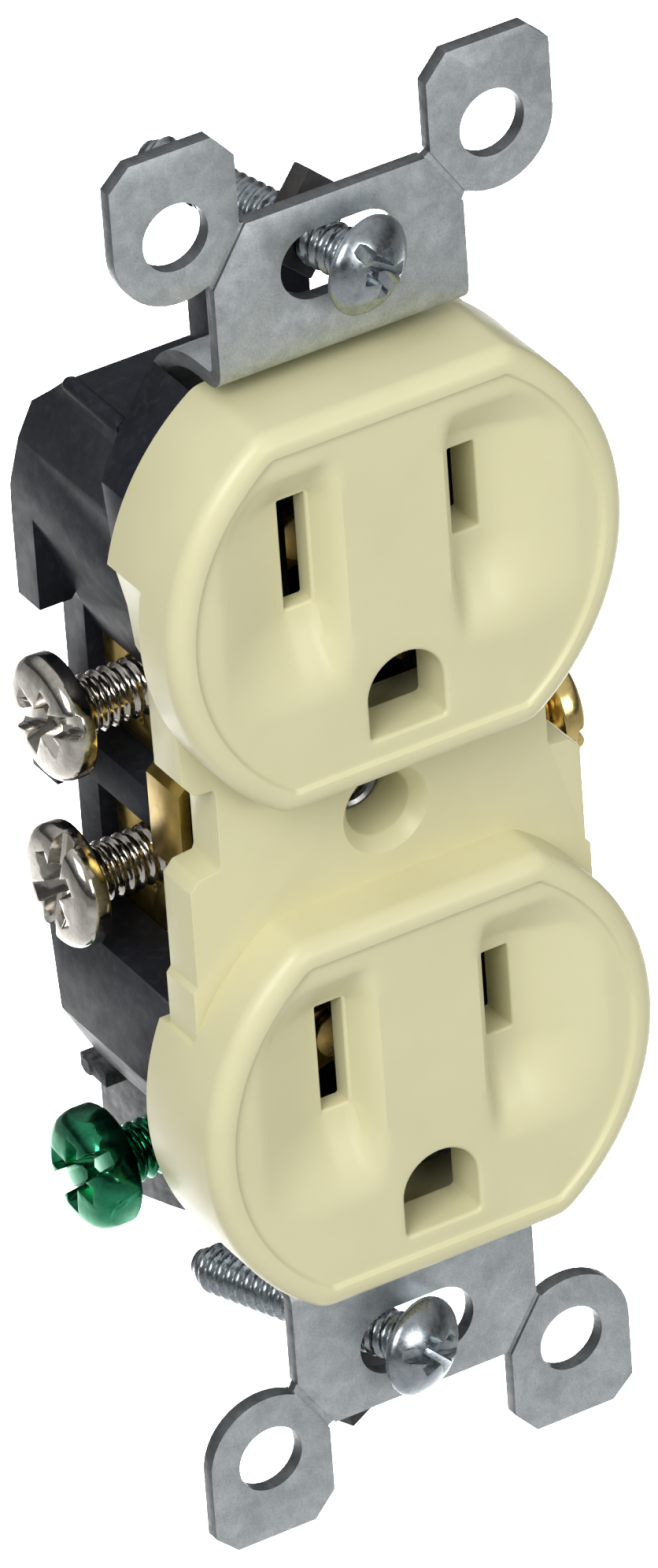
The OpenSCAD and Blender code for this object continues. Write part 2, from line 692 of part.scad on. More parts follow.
front_cover();
back_body();
mounting_strap();
center_eyelet();
ground_contact_upper();
ground_contact_lower();
ground_rivet_upper();
ground_rivet_lower();
neutral_strip();
hot_strip();
neutral_clip_upper();
neutral_clip_lower();
hot_clip_upper();
hot_clip_lower();
neutral_screw_upper();
neutral_screw_lower();
hot_screw_upper();
hot_screw_lower();
ground_screw();
box_screw_upper();
box_screw_lower();
screw_retainer_upper();
screw_retainer_lower();
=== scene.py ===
"""Duplex wall outlet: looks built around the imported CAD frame.

Shapes are made in millimetres, in the frame's axes, and scaled to metres when a piece is finished.
"""

import math

import bmesh
import bpy
from mathutils import Matrix, Vector
from mathutils.geometry import delaunay_2d_cdt


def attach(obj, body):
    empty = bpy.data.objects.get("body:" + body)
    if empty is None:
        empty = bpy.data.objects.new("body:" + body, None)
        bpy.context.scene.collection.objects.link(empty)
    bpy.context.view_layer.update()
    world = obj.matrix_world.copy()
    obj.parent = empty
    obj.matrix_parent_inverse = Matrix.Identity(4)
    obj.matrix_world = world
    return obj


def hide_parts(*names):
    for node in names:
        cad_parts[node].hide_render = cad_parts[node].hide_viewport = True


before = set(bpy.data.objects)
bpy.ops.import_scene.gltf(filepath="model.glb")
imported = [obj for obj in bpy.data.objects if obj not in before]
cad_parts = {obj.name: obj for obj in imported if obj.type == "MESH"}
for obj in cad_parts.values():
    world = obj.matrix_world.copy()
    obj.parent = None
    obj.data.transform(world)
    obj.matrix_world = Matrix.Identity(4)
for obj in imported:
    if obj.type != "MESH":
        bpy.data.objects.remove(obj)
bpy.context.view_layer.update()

MM = 0.001
scene = bpy.context.scene

# ---------------------------------------------------------------- sizes, as in the CAD source
FACE_R, FACE_FLAT, FACE_Z = 17.05, 14.3, 19.38     # plug faces: radius, half height, height of the centres
FRONT = -5.1                                       # front of the plug faces
MID_FRONT, MID_BACK, COVER_BACK = -0.8, 2.7, 3.55  # front and back of the cover's middle, back of its skirts
SKIRT_HIGH, SKIRT_LOW = 22.9, -12.4                # the skirts start here
POCKET_FRONT = -1.2                                # back of the faces' front wall
POCKET_X = 12.6                                    # half width of the pockets behind the faces
TUNNEL_BACK, TUNNEL_WALL = 0.5, 0.8                # tunnels behind the hot slots
BLADE_X, BLADE_RISE, BLADE_W = 6.35, 3.73, 2.0     # blade slots, from a face's centre
NEUTRAL_H, HOT_H = 8.2, 6.4
GROUND_DROP, GROUND_R = 8.17, 2.85                 # ground hole, from a face's centre
EYELET_R, EYELET_HOLE_R = 2.0, 1.5
TERM_Y, TERM_Z, TERM_R = 12.8, 6.5, 2.05           # terminal screws
TERM_HEAD_R, TERM_L = 4.35, 9.5
STRIP_OUT = 10.1                                   # outside of the terminal strips
BACKED_OUT, HOT_OUT, GROUND_OUT = 5.6, 9.1, 4.0    # how far the screws' heads stand off
TAB_X, TAB_Z = 11.0, -29.0                         # grounding tab and the hole in it
HEX_R, HEX_ROUND_R, HEX_H = 4.58, 4.25, 3.1        # ground screw's head: corners, their rounding, height
GROUND_L = 7.9
BOX_R, BOX_HEAD_R, BOX_HEAD_H, BOX_L = 1.75, 3.45, 2.2, 19.05  # box screws
BOX_UNDER, PIVOT_Y, BOX_Z = 2.2, 0.5, 41.67         # head's underside from the pivot, and the pivot
NECK, NECK_R = (4.6, 6.2), 1.35                    # the box screws' neck in the retainer
PITCH = 0.794                                      # 32 threads to the inch

# ---------------------------------------------------------------- sizes of the looks only
TERM_RIM, TERM_HEAD_H = 1.0, 2.08                  # terminal heads' edge and height; the CAD's are 2.1 high
BOX_DOME = 1.7                                     # height of the box screws' heads above their edge
SHANK_TOP = 0.05                                   # the shanks start this far inside their heads
ROUND = 1.3                                        # rounding round the plug faces
RIM, RIM_STEP, RIM_SLOPE = 1.6, 0.30, 0.35         # bead round the plug faces
SCOOP = 2.2                                        # depth of the scooped lead-ins
BLADE_CORNER, GROUND_CORNER = 0.18, 0.35           # corner radii of the slots and the ground hole
SLOT_ROUND, HOLE_ROUND = 0.22, 0.3                 # softened mouths of the slots and the ground hole
RELIEF_FRONT, RELIEF_WALL = -1.2, 0.6              # behind the neutral slots; the CAD's starts at -1.9
SLIM = 0.02                                        # the skirts stay this much inside the faces' outline


# ---------------------------------------------------------------- mesh helpers
def new_object(name, verts, faces):
    me = bpy.data.meshes.new(name)
    me.from_pydata([tuple(map(float, v)) for v in verts], [], [tuple(map(int, f)) for f in faces])
    me.update()
    o = bpy.data.objects.new(name, me)
    scene.collection.objects.link(o)
    return o


def welded(o, dist=0.002):
    """Joins points closer than dist, and turns every face outwards."""
    bm = bmesh.new()
    bm.from_mesh(o.data)
    bmesh.ops.remove_doubles(bm, verts=bm.verts, dist=dist)
    bmesh.ops.dissolve_degenerate(bm, dist=1e-5, edges=bm.edges)
    bmesh.ops.recalc_face_normals(bm, faces=bm.faces)
    bm.to_mesh(o.data)
    bm.free()
    return o


def patched(o, sides=12):
    """Closes the small holes that joining the pieces left."""
    bm = bmesh.new()
    bm.from_mesh(o.data)
    bmesh.ops.holes_fill(bm, edges=[e for e in bm.edges if e.is_boundary], sides=sides)
    bmesh.ops.recalc_face_normals(bm, faces=bm.faces)
    bm.to_mesh(o.data)
    bm.free()
    return o


def flat_dissolved(o, degrees=0.5):
    """Makes each flat area one face."""
    bm = bmesh.new()
    bm.from_mesh(o.data)
    bmesh.ops.dissolve_limit(bm, angle_limit=math.radians(degrees), verts=bm.verts, edges=bm.edges)
    bm.to_mesh(o.data)
    bm.free()
    return o


def apply_modifiers(o):
    deps = bpy.context.evaluated_depsgraph_get()
    me = bpy.data.meshes.new_from_object(o.evaluated_get(deps))
    o.modifiers.clear()
    old = o.data
    o.data = me
    bpy.data.meshes.remove(old)
    return o


def boolean(o, tool, operation):
    """Joins a tool to a piece, cuts it out or keeps what they share, and deletes the tool."""
    m = o.modifiers.new("boolean", "BOOLEAN")
    m.operation, m.solver, m.object = operation, "EXACT", tool
    bpy.context.view_layer.update()
    apply_modifiers(o)
    bpy.data.objects.remove(tool)


def cut(o, *tools):
    for tool in tools:
        boolean(o, tool, "DIFFERENCE")


def joined(o, other):
    boolean(o, other, "UNION")


def bevelled(o, width, segments=2, angle=30):
    m = o.modifiers.new("edge", "BEVEL")
    m.width, m.segments, m.limit_method = width, segments, "ANGLE"
    m.angle_limit, m.use_clamp_overlap = math.radians(angle), True
    m.miter_outer = "MITER_ARC"
    bpy.context.view_layer.update()
    return apply_modifiers(o)


def turn(degrees, axis):
    return Matrix.Rotation(math.radians(degrees), 4, axis)


def circle(r, n):
    return [(r * math.cos(2 * math.pi * i / n), r * math.sin(2 * math.pi * i / n)) for i in range(n)]


def turned(name, points, n):
    """A closed solid of revolution about Z: points are (radius, height), from the axis to the axis."""
    verts, faces, rings = [], [], []
    for r, h in points:
        if r < 1e-6:
            rings.append([len(verts)])
            verts.append((0, 0, h))
        else:
            rings.append(list(range(len(verts), len(verts) + n)))
            verts += [(x, y, h) for x, y in circle(r, n)]
    for a, b in zip(rings, rings[1:]):
        for i in range(n):
            j = (i + 1) % n
            if len(a) == 1 and len(b) > 1:
                faces.append((a[0], b[i], b[j]))
            elif len(b) == 1 and len(a) > 1:
                faces.append((a[i], b[0], a[j]))
            elif len(a) > 1:
                faces.append((a[i], b[i], b[j], a[j]))
    return welded(new_object(name, verts, faces))


def loft(loops, verts, faces):
    """Joins closed loops of equal length with quads, adding to verts and faces."""
    base, n = len(verts), len(loops[0])
    for loop in loops:
        verts += list(loop)
    for k in range(len(loops) - 1):
        low, high = base + k * n, base + (k + 1) * n
        for i in range(n):
            j = (i + 1) % n
            faces.append((low + i, low + j, high + j, high + i))


def inside(p, loop):
    x, y = p
    hit = False
    for (x1, y1), (x2, y2) in zip(loop, loop[1:] + loop[:1]):
        if (y1 > y) != (y2 > y) and x < (x2 - x1) * (y - y1) / (y2 - y1) + x1:
            hit = not hit
    return hit


def filled(loops, grid=(), creases=()):
    """Fills the area between an outer loop and its holes with triangles: (points, triangles).

    Extra grid points lie inside it, and the triangles' edges follow the creases, closed loops inside it.
    """
    pts, edges = [], []
    for loop in [*loops, *creases]:
        b = len(pts)
        pts += [Vector(p) for p in loop]
        edges += [(b + i, b + (i + 1) % len(loop)) for i in range(len(loop))]
    pts += [Vector(p) for p in grid]
    out = delaunay_2d_cdt(pts, edges, [], 0, 1e-6)
    flat = [tuple(v) for v in out[0]]
    tris = []
    for f in out[2]:
        c = (sum(flat[i][0] for i in f) / 3, sum(flat[i][1] for i in f) / 3)
        if sum(inside(c, loop) for loop in loops) == 1:
            tris.append(tuple(f))
    return flat, tris


def prism(loop, axis, lo, hi):
    """A flat shape pushed from lo to hi. axis "y": the shape is (x, z); "x": (y, z); "z": (x, y)."""
    put = {
        "x": lambda p, t: (t, p[0], p[1]),
        "y": lambda p, t: (p[0], t, p[1]),
        "z": lambda p, t: (p[0], p[1], t),
    }[axis]
    n = len(loop)
    verts = [put(p, lo) for p in loop] + [put(p, hi) for p in loop]
    faces = [tuple(range(n)), tuple(range(2 * n - 1, n - 1, -1))]
    faces += [(i, i + n, (i + 1) % n + n, (i + 1) % n) for i in range(n)]
    return welded(new_object("prism", verts, faces), 1e-4)


def soften(o, degrees):
    """Smooth shading, with edges sharper than this left sharp."""
    me = o.data
    me.polygons.foreach_set("use_smooth", [True] * len(me.polygons))
    me.set_sharp_from_angle(angle=math.radians(degrees))
    me.update()


def finish_piece(o, name, body, look, nodes, degrees=32, matrix=None):
    """Scales a piece from millimetres to metres, in place, and ties it to its body."""
    if matrix is not None:
        o.data.transform(matrix)
    o.data.transform(Matrix.Scale(MM, 4))
    o.name = o.data.name = name
    soften(o, degrees)
    o.data.materials.clear()
    o.data.materials.append(look)
    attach(o, body)
    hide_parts(*nodes)


def from_cad(node):
    """A copy of a CAD node's mesh in millimetres, welded and with its flat faces whole."""
    o = bpy.data.objects.new("copy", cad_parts[node].data.copy())
    scene.collection.objects.link(o)
    o.data.transform(Matrix.Scale(1 / MM, 4))
    if o.data.has_custom_normals:
        bm = bmesh.new()
        bm.from_mesh(o.data)
        fresh = bpy.data.meshes.new("copy")
        bm.to_mesh(fresh)
        bm.free()
        o.data = fresh
        if "custom_normal" in fresh.attributes:
            fresh.attributes.remove(fresh.attributes["custom_normal"])
    welded(o, 0.003)
    return flat_dissolved(o)


# ---------------------------------------------------------------- materials
def material(name):
    m = bpy.data.materials.new(name)
    m.use_nodes = True
    t = m.node_tree
    t.nodes.clear()
    out = t.nodes.new("ShaderNodeOutputMaterial")
    bsdf = t.nodes.new("ShaderNodeBsdfPrincipled")
    t.links.new(bsdf.outputs[0], out.inputs[0])
    coords = t.nodes.new("ShaderNodeTexCoord")
    scale = t.nodes.new("ShaderNodeMapping")
    scale.inputs["Scale"].default_value = (1000, 1000, 1000)
    t.links.new(coords.outputs["Object"], scale.inputs[0])
    return m, t, bsdf, scale.outputs[0]


def noise(t, where, size, detail=4, roughness=0.55, stretch=None, distortion=0.0):
    """Noise whose features are about size millimetres across."""
    if stretch:
        mp = t.nodes.new("ShaderNodeMapping")
        mp.inputs["Scale"].default_value = stretch
        t.links.new(where, mp.inputs[0])
        where = mp.outputs[0]
    n = t.nodes.new("ShaderNodeTexNoise")
    n.inputs["Scale"].default_value = 1 / size
    n.inputs["Detail"].default_value = detail
    n.inputs["Roughness"].default_value = roughness
    n.inputs["Distortion"].default_value = distortion
    t.links.new(where, n.inputs["Vector"])
    return n.outputs["Fac"]


def ramp(t, fac, stops):
    r = t.nodes.new("ShaderNodeValToRGB")
    els = r.color_ramp.elements
    while len(els) < len(stops):
        els.new(0.5)
    for e, (pos, col) in zip(els, stops):
        e.position = pos
        e.color = (*col, 1) if len(col) == 3 else (col[0],) * 3 + (1,)
    t.links.new(fac, r.inputs[0])
    return r.outputs["Color"]


def grey(v):
    return (v, v, v)


def mixed(t, a, b, fac, kind="MIX"):
    m = t.nodes.new("ShaderNodeMix")
    m.data_type, m.blend_type = "RGBA", kind
    for sock, v in ((m.inputs[6], a), (m.inputs[7], b), (m.inputs[0], fac)):
        if isinstance(v, (int, float)):
            sock.default_value = v
        elif isinstance(v, tuple):
            sock.default_value = (*v, 1)
        else:
            t.links.new(v, sock)
    return m.outputs[2]


def bump(t, bsdf, height, strength, distance_mm):
    b = t.nodes.new("ShaderNodeBump")
    b.inputs["Strength"].default_value = strength
    b.inputs["Distance"].default_value = distance_mm * MM
    t.links.new(height, b.inputs["Height"])
    last = bsdf.inputs["Normal"]
    if last.is_linked:
        t.links.new(last.links[0].from_socket, b.inputs["Normal"])
    t.links.new(b.outputs[0], last)


def uneven_roughness(t, bsdf, fac, low, high):
    t.links.new(ramp(t, fac, [(0.3, grey(low)), (0.7, grey(high))]), bsdf.inputs["Roughness"])


def ivory_material():
    m, t, b, at = material("ivory_plastic")
    tone = noise(t, at, 9.0, 3)
    base = ramp(t, tone, [(0.35, (0.660, 0.628, 0.385)), (0.65, (0.690, 0.658, 0.410))])
    specks = ramp(t, noise(t, at, 0.55, 5, 0.7), [(0.74, grey(0)), (0.80, grey(1))])
    base = mixed(t, base, (0.58, 0.52, 0.33), mixed(t, grey(0), grey(0.25), specks))
    t.links.new(base, b.inputs["Base Color"])
    uneven_roughness(t, b, noise(t, at, 2.2, 4), 0.30, 0.40)
    b.inputs["Specular IOR Level"].default_value = 0.32
    b.inputs["Coat Weight"].default_value = 0.05
    b.inputs["Coat Roughness"].default_value = 0.22
    b.inputs["Subsurface Weight"].default_value = 0.08
    b.inputs["Subsurface Radius"].default_value = (0.0012, 0.0009, 0.0005)
    b.inputs["Subsurface Scale"].default_value = 1.0
    bump(t, b, noise(t, at, 0.22, 3), 0.10, 0.02)
    bump(t, b, noise(t, at, 3.5, 2), 0.25, 0.035)
    return m


def black_material():
    m, t, b, at = material("black_plastic")
    tone = noise(t, at, 3.0, 5, 0.6)
    col = ramp(t, tone, [(0.35, (0.010, 0.011, 0.015)), (0.7, (0.016, 0.018, 0.026))])
    dust = noise(t, at, 0.8, 6, 0.75)
    col = mixed(t, col, (0.055, 0.058, 0.066), ramp(t, dust, [(0.50, grey(0)), (0.80, grey(0.5))]))
    t.links.new(col, b.inputs["Base Color"])
    uneven_roughness(t, b, noise(t, at, 1.4, 5), 0.40, 0.52)
    b.inputs["Specular IOR Level"].default_value = 0.16
    bump(t, b, noise(t, at, 0.3, 4), 0.35, 0.03)
    bump(t, b, noise(t, at, 4.0, 2), 0.3, 0.08)
    return m


def galvanised_material():
    m, t, b, at = material("galvanised_steel")
    cells = t.nodes.new("ShaderNodeTexVoronoi")
    cells.inputs["Scale"].default_value = 0.9
    t.links.new(at, cells.inputs["Vector"])
    spangle = ramp(t, cells.outputs["Color"], [(0.0, (0.46, 0.50, 0.52)), (1.0, (0.60, 0.645, 0.665))])
    cloud = noise(t, at, 1.6, 6, 0.65, distortion=0.4)
    cloud = ramp(t, cloud, [(0.3, (0.40, 0.44, 0.46)), (0.72, (0.70, 0.745, 0.765))])
    col = mixed(t, spangle, cloud, 0.65)
    fine = ramp(t, noise(t, at, 0.16, 4, 0.7), [(0.3, grey(0.72)), (0.7, grey(1.10))])
    col = mixed(t, col, fine, 0.9, "MULTIPLY")
    streak = ramp(t, noise(t, at, 1.0, 5, 0.7, stretch=(1.6, 1.0, 0.22)), [(0.55, grey(0)), (0.75, grey(1))])
    col = mixed(t, col, (0.70, 0.71, 0.70), mixed(t, grey(0), grey(0.35), streak))
    # Painted shade: a near-black steel colour laid over the grounding tab, its rolled lip and the strap's
    # cut edges where they lie in shade; on the cut edges it is partly their own bare, torn steel
    shade_and_cut_edges = t.nodes.new("ShaderNodeAttribute")
    shade_and_cut_edges.attribute_name = "shade_and_cut_edges"
    cut_edge_shade = noise(t, at, 0.5, 5, 0.7, stretch=(1, 0.4, 1))
    cut_edge_shade = ramp(t, cut_edge_shade, [(0.35, (0.045, 0.048, 0.052)), (0.7, (0.13, 0.135, 0.14))])
    t.links.new(mixed(t, col, cut_edge_shade, shade_and_cut_edges.outputs["Fac"]), b.inputs["Base Color"])
    b.inputs["Metallic"].default_value = 0.85
    uneven_roughness(t, b, noise(t, at, 0.9, 5), 0.36, 0.55)
    bump(t, b, noise(t, at, 0.12, 4, 0.7), 0.30, 0.02)
    bump(t, b, noise(t, at, 1.5, 3), 0.30, 0.04)
    return m


def metal_material(name, dark, light, rough, size=1.5, grain=None, stain=None):
    m, t, b, at = material(name)
    col = ramp(t, noise(t, at, size, 5, 0.6, distortion=0.3), [(0.3, dark), (0.7, light)])
    if stain:
        spots = ramp(t, noise(t, at, size * 0.6, 6, 0.7), [(0.56, grey(0)), (0.72, grey(0.8))])
        col = mixed(t, col, stain, spots)
    t.links.new(col, b.inputs["Base Color"])
    b.inputs["Metallic"].default_value = 1.0
    uneven_roughness(t, b, noise(t, at, size * 0.5, 5), *rough)
    bump(t, b, noise(t, at, 0.10, 3), 0.15, 0.01)
    if grain:
        bump(t, b, noise(t, at, 0.25, 3, stretch=grain), 0.35, 0.015)
    bump(t, b, noise(t, at, size, 2), 0.3, 0.03)
    return m


def fibre_material():
    m, t, b, at = material("black_fibre")
    col = ramp(t, noise(t, at, 0.5, 6, 0.7), [(0.3, (0.010, 0.009, 0.009)), (0.75, (0.030, 0.027, 0.025))])
    t.links.new(col, b.inputs["Base Color"])
    b.inputs["Roughness"].default_value = 0.7
    b.inputs["Sheen Weight"].default_value = 0.15
    bump(t, b, noise(t, at, 0.35, 5, 0.7), 0.6, 0.05)
    bump(t, b, noise(t, at, 0.2, 3, stretch=(1, 1, 0.2)), 0.4, 0.03)
    return m


ivory = ivory_material()
black = black_material()
galvanised = galvanised_material()
dull_steel = metal_material("dull_steel", (0.20, 0.20, 0.21), (0.34, 0.34, 0.34), (0.18, 0.32))
# Painted shade: the contact brass is much darker than the other brass, standing in for the shade inside the
# terminal bays; its stains are its own
contact_brass = metal_material(
    "contact_brass", (0.36, 0.25, 0.055), (0.50, 0.36, 0.10), (0.26, 0.40), 2.5,
    grain=(1, 1, 0.12), stain=(0.25, 0.165, 0.04),
)
rivet_brass = metal_material("rivet_brass", (0.58, 0.40, 0.14), (0.70, 0.52, 0.22), (0.25, 0.4))
clip_brass = metal_material("clip_brass", (0.62, 0.50, 0.26), (0.74, 0.64, 0.38), (0.25, 0.4))
# Painted reflection: the nickel is dimmed to stand in for the dark surroundings that the heads' faces
# mirror; its stains are its own
nickel = metal_material(
    "nickel_screw", (0.42, 0.39, 0.34), (0.64, 0.61, 0.56), (0.07, 0.16), 0.9, stain=(0.30, 0.22, 0.12)
)
brass_screw = metal_material(
    "brass_screw", (0.72, 0.54, 0.20), (0.86, 0.68, 0.30), (0.12, 0.26), 0.9, stain=(0.36, 0.25, 0.08)
)
green = metal_material("green_screw", (0.018, 0.17, 0.080), (0.040, 0.31, 0.155), (0.10, 0.22), 1.0)
zinc = metal_material(
    "zinc_screw", (0.28, 0.315, 0.34), (0.42, 0.46, 0.49), (0.20, 0.34), 0.7, stain=(0.20, 0.22, 0.25)
)
fibre = fibre_material()


# ---------------------------------------------------------------- front cover
def face_angles():
    """Angles of an outline's points: even steps, with more round the four corners."""
    corner = math.asin(FACE_FLAT / FACE_R)
    angles = {round(2 * math.pi * i / 200, 6) for i in range(200)}
    for c in (corner, math.pi - corner, math.pi + corner, 2 * math.pi - corner):
        for k in range(-8, 9):
            angles.add(round(c + math.radians(0.35) * k, 6))
    apart = []
    for a in sorted(angles):
        if not apart or a - apart[-1] > 0.0018:
            apart.append(a)
    return apart


ANGLES = face_angles()


def face_outline(inset, soft=0.16):
    """Outline of a plug face about its centre, moved in by inset, with its four corners a little rounded."""
    out = []
    for a in ANGLES:
        s = abs(math.sin(a))
        arc, flat = FACE_R - inset, (FACE_FLAT - inset) / max(s, 1e-3)
        low = min(arc, flat)
        r = low - soft * math.log(math.exp(-(arc - low) / soft) + math.exp(-min(flat - low, 30) / soft))
        out.append((r * math.cos(a), r * math.sin(a)))
    return out


def trapezoid(v, a, b, c, d, soft_low, soft_high):
    """0 up to a, rising to 1 at b, 1 up to c, falling to 0 at d, with rounded corners."""
    def rise(x, soft):
        x = min(max(x, 0), 1)
        return x + soft * (x * x * (3 - 2 * x) - x)
    return min(rise((v - a) / (b - a), soft_low), rise((d - v) / (d - c), soft_high))


def face_depth(x, z):
    """How far the face lies behind its rim, at a point about the face's centre, inside the rim."""
    u = abs(x)
    across = trapezoid(u, 3.9, 5.3, 7.4, 13.2, 0.8, 0.1)
    up = trapezoid(z, -6.6, -0.6, 7.9, 11.0, 0.6, 0.0)
    inset = min(FACE_R - math.hypot(x, z), FACE_FLAT - abs(z))
    edge = min(max((inset - RIM) / RIM_SLOPE, 0), 1)
    edge = edge * edge * (3 - 2 * edge)
    return edge * RIM_STEP + min(max((inset - RIM - 0.2) / 1.2, 0), 1) * SCOOP * across * up


def rounded_rect(cx, cz, w, h, r, n=5):
    out = []
    for sx, sz, a0 in ((1, 1, 0), (-1, 1, 90), (-1, -1, 180), (1, -1, 270)):
        for k in range(n + 1):
            a = math.radians(a0 + 90 * k / n)
            out.append((cx + sx * (w / 2 - r) + r * math.cos(a), cz + sz * (h / 2 - r) + r * math.sin(a)))
    return out


def ground_loop(grow, n=20):
    """The ground hole's outline about the face's centre: round above, flat below with small corner radii."""
    big, low = GROUND_R + grow, -GROUND_R - grow
    rr = GROUND_CORNER + grow
    corner = [math.pi / 2 * k / 4 for k in range(5)]
    pts = [(big * math.cos(math.pi * k / n), big * math.sin(math.pi * k / n)) for k in range(n + 1)]
    pts += [(-big, low / 2)]
    pts += [(-big + rr - rr * math.cos(a), low + rr - rr * math.sin(a)) for a in corner]
    pts += [(0, low)]
    pts += [(big - rr + rr * math.sin(a), low + rr - rr * math.cos(a)) for a in corner]
    pts += [(big, low / 2)]
    return [(x, z - GROUND_DROP) for x, z in pts]


def slot_loop(cx, h, grow):
    """A blade slot's outline about the face's centre, with points along its straight sides."""
    base = rounded_rect(cx, BLADE_RISE, BLADE_W + 2 * grow, h + 2 * grow, BLADE_CORNER + grow)
    out = []
    for i, ((x1, y1), (x2, y2)) in enumerate(zip(base, base[1:] + base[:1])):
        steps = 1
        if i % 6 == 5:                             # a straight side: each corner has six points
            steps = 14 if abs(x1 - x2) < 1e-6 else 4
        out += [(x1 + (x2 - x1) * k / steps, y1 + (y2 - y1) * k / steps) for k in range(steps)]
    return out


def pocket_outline(grow=0.0):
    """Outline of the pocket behind a plug face, about the face's centre."""
    r, f = FACE_R - 2.4 + grow, FACE_FLAT - 2.2 + grow
    out = []
    for k in range(120):
        a = 2 * math.pi * k / 120
        q = min(r, f / max(abs(math.sin(a)), 1e-3), (POCKET_X + grow) / max(abs(math.cos(a)), 1e-3))
        out.append((q * math.cos(a), q * math.sin(a)))
    return out


def face_boss(cz):
    """Front wall of one plug face with its slots, down to the middle plane, as a closed solid."""
    verts, faces = [], []
    back = MID_FRONT + 0.06                        # a little inside the middle plate
    start, face_y = ROUND + 0.25, FRONT + 0.002    # where the flat front begins

    def surface(x, z):
        return face_y + face_depth(x, z)

    def level(loop, y):
        return [(x, y, z + cz) for x, z in loop]

    def fill(loops, depth, grid=(), creases=()):
        flat, tris = filled(loops, grid, creases)
        b = len(verts)
        verts.extend((x, depth(x, z), z + cz) for x, z in flat)
        faces.extend(tuple(b + i for i in t) for t in tris)

    rings = [(0, back)]
    for k in range(9):
        a = math.radians(90 * k / 8)
        rings.append((ROUND * (1 - math.cos(a)), FRONT + ROUND * (1 - math.sin(a))))
    rings += [(start, face_y)]
    loft([level(face_outline(i), y) for i, y in rings], verts, faces)

    slots = [(slot_loop, (-BLADE_X, NEUTRAL_H)), (slot_loop, (BLADE_X, HOT_H)), (ground_loop, ())]
    softened = [kind(*args, HOLE_ROUND if kind is ground_loop else SLOT_ROUND) for kind, args in slots]
    keep_off = [
        rounded_rect(-BLADE_X, BLADE_RISE, BLADE_W + 0.9, NEUTRAL_H + 0.9, 0.3),
        rounded_rect(BLADE_X, BLADE_RISE, BLADE_W + 0.9, HOT_H + 0.9, 0.3),
        ground_loop(0.6),
    ]
    grid, step = [], 0.42
    n = int(FACE_R / step) + 1
    for i in range(-n, n + 1):
        for j in range(-n, n + 1):
            x, z = i * step, (j + 0.5 * (i % 2)) * step
            if min(FACE_R - math.hypot(x, z), FACE_FLAT - abs(z)) < RIM + 0.85:
                continue
            if any(inside((x, z), h) for h in keep_off):
                continue
            grid.append((x, z))
    creases = [face_outline(RIM + d)[::2] for d in (0.05, 0.12, 0.20, 0.28, 0.35, 0.6)]
    fill([face_outline(start), *softened], surface, grid, creases)

    walls = []
    for (kind, args), top in zip(slots, softened):
        r = HOLE_ROUND if kind is ground_loop else SLOT_ROUND
        stack = [[(x, surface(x, z), z + cz) for x, z in top]]
        for k in (1, 2, 3, 4):
            a = math.radians(90 * k / 4)
            ring = kind(*args, r * (1 - math.sin(a)))
            drop = r * (1 - math.cos(a))
            stack.append([(p[0], surface(*q) + drop, p[1] + cz) for p, q in zip(ring, top)])
        wall, depth, spread = kind(*args, 0.0), POCKET_FRONT, 0.0
        if args == (BLADE_X, HOT_H):
            depth, spread = TUNNEL_BACK, TUNNEL_WALL
        elif args:
            depth, spread = RELIEF_FRONT, RELIEF_WALL
        stack.append(level(wall, depth))
        if spread:
            wall = kind(*args, spread)
            stack += [level(wall, depth), level(wall, POCKET_FRONT)]
        loft(stack, verts, faces)
        walls.append(wall)

    pocket = pocket_outline()
    fill([pocket, *walls], lambda x, z: POCKET_FRONT)
    loft([level(pocket, POCKET_FRONT), level(pocket, back)], verts, faces)
    fill([face_outline(0), pocket], lambda x, z: back)
    return welded(new_object("boss", verts, faces), 2e-4)


# half of the outline of the cover's middle, (x, z) from the top down
WING = [
    (16.55, SKIRT_HIGH), (15.9, 20), (15.55, 16.8), (14.95, 15.4), (14.85, 7.5), (14.05, 6.45), (12.6, 6.3),
    (12.45, 5.9), (12.45, 0.5), (12.6, 0.1), (14.1, -0.05), (14.85, -0.85), (14.85, -8.1), (15.2, -8.5),
    (15.2, SKIRT_LOW),
]


def clipped(loop, low=None, high=None):
    """A convex loop of (x, z) cut off at z = low or z = high."""
    out = []
    for (x1, z1), (x2, z2) in zip(loop, loop[1:] + loop[:1]):
        lim = low if low is not None else high
        keep1 = z1 >= lim if low is not None else z1 <= lim
        keep2 = z2 >= lim if low is not None else z2 <= lim
        if keep1:
            out.append((x1, z1))
        if keep1 != keep2:
            f = (lim - z1) / (z2 - z1)
            out.append((x1 + (x2 - x1) * f, lim))
    return out


